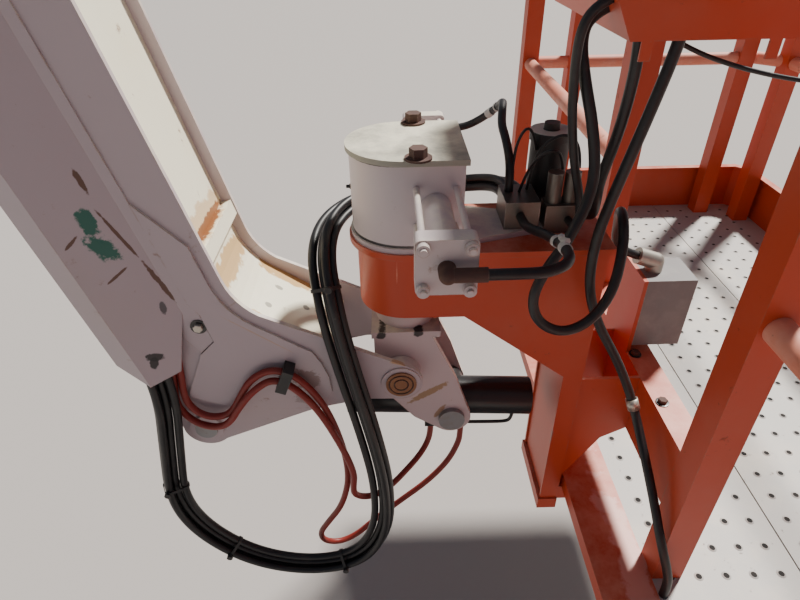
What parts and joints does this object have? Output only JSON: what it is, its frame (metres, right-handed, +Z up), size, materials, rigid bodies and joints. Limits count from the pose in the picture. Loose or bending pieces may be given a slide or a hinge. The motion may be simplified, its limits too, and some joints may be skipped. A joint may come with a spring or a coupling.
{
  "type": "boom lift jib and work platform",
  "caption": "Lower end of a boom lift's jib with a levelling knuckle and cylinder, a platform rotator and a railed work platform with console, gate and hoses.",
  "frame": {"origin": "centre of the pivot bore at the jib's root, which holds the part", "axes": "+Z up, +X level from the jib towards the platform, +Y across the jib along the pivot bore"},
  "size_m": [2.1276, 2.36, 2.2225],
  "materials": {
    "white_paint": "worn cream-white paint with rust stains",
    "rusty_steel": "rusted steel",
    "pin_steel": "dull steel",
    "black_paint": "satin black paint",
    "rod_chrome": "hard chrome",
    "hose_black": "black rubber hose and cable",
    "hose_red": "dark red hose",
    "orange_paint": "worn orange-red paint, faded on top",
    "deck_zinc": "galvanised punched sheet",
    "box_grey": "grey paint",
    "zinc_fitting": "zinc-plated steel",
    "black_plastic": "matt black plastic"
  },
  "bodies": {
    "boom": {"boom_side_plates": "white_paint", "nose_side_plates": "white_paint", "boom_cover_plates": "white_paint", "boom_knee_bar": "white_paint", "nose_doublers": "white_paint", "boom_pin_bosses": "white_paint", "main_pin": "rusty_steel", "rod_pin_ends": "pin_steel", "boom_lift_clevis": "white_paint", "hose_guard": "white_paint", "hose_clamps": "black_paint", "black_hose_lower_1": "hose_black", "black_hose_lower_2": "hose_black", "black_hose_lower_3": "hose_black", "black_hose_lower_4": "hose_black", "red_hose_lower_1": "hose_red", "red_hose_lower_2": "hose_red"},
    "knuckle": {"knuckle": "white_paint", "rotator_neck": "white_paint", "barrel_pins": "pin_steel", "black_hose_upper_1": "hose_black", "black_hose_upper_2": "hose_black", "black_hose_upper_3": "hose_black", "black_hose_upper_4": "hose_black", "red_hose_upper_1": "hose_red", "red_hose_upper_2": "hose_red"},
    "level_barrel": {"level_cylinder_barrel": "black_paint"},
    "level_rod": {"level_cylinder_rod": "rod_chrome"},
    "platform": {"rotator_cover_plate": "white_paint", "rotator_housing": "white_paint", "rotator_cover_bolts": "rusty_steel", "rack_cylinders": "white_paint", "port_fittings": "rusty_steel", "rotator_base_flange": "white_paint", "support_top_plate": "orange_paint", "support_side_plates": "orange_paint", "support_post_plates": "orange_paint", "support_gussets": "orange_paint", "platform_floor_frame": "orange_paint", "platform_cross_channel": "orange_paint", "platform_inner_sill": "orange_paint", "platform_floor": "deck_zinc", "toe_boards": "orange_paint", "top_rail": "orange_paint", "mid_rails": "orange_paint", "platform_posts": "orange_paint", "control_console": "orange_paint", "console_mounts": "orange_paint", "control_levers": "black_plastic", "junction_box": "box_grey", "junction_box_bracket": "orange_paint", "conduit_elbow": "zinc_fitting", "valve_group": "zinc_fitting", "filter_canister": "black_plastic", "rack_hose_near": "hose_black", "rack_hose_far": "hose_black", "valve_cable": "hose_black", "junction_box_cable": "hose_black", "deck_cable": "hose_black"},
    "gate": {"gate": "orange_paint"}
  },
  "joints": [
    {"name": "knuckle_pivot", "type": "hinge", "parent": "boom", "child": "knuckle", "pos_m": [0.72364, 0, -1.65492], "axis": [0, 1, 0], "range_deg": [-4, 80], "deforming": ["black_hose_lower_1", "black_hose_lower_2", "black_hose_lower_3", "black_hose_lower_4", "red_hose_lower_1", "red_hose_lower_2"]},
    {"name": "level_cylinder_trunnion", "type": "hinge", "parent": "knuckle", "child": "level_barrel", "pos_m": [0.81664, 0, -1.77492], "axis": [0, 1, 0], "range_deg": [-75, 4], "deforming": ["red_hose_upper_1", "red_hose_upper_2"]},
    {"name": "level_rod_slide", "type": "slide", "parent": "level_barrel", "child": "level_rod", "axis": [-0.9983, 0, 0.0587], "range_m": [-0.196, 0.011]},
    {"name": "platform_rotator", "type": "hinge", "parent": "knuckle", "child": "platform", "pos_m": [0.73564, 0, -1.46492], "axis": [0, 0, 1], "range_deg": [-90, 90], "deforming": ["black_hose_upper_1", "black_hose_upper_2", "black_hose_upper_3", "black_hose_upper_4"]},
    {"name": "gate_hinge", "type": "hinge", "parent": "platform", "child": "gate", "pos_m": [1.36364, -1.1307, -1.46492], "axis": [0, 0, 1], "range_deg": [0, 90]}
  ],
  "couplings": [
    {"joint": "level_cylinder_trunnion", "follows": "knuckle_pivot", "ratio": -0.9281},
    {"joint": "level_rod_slide", "follows": "knuckle_pivot", "m_per_rad": -0.13897}
  ]
}
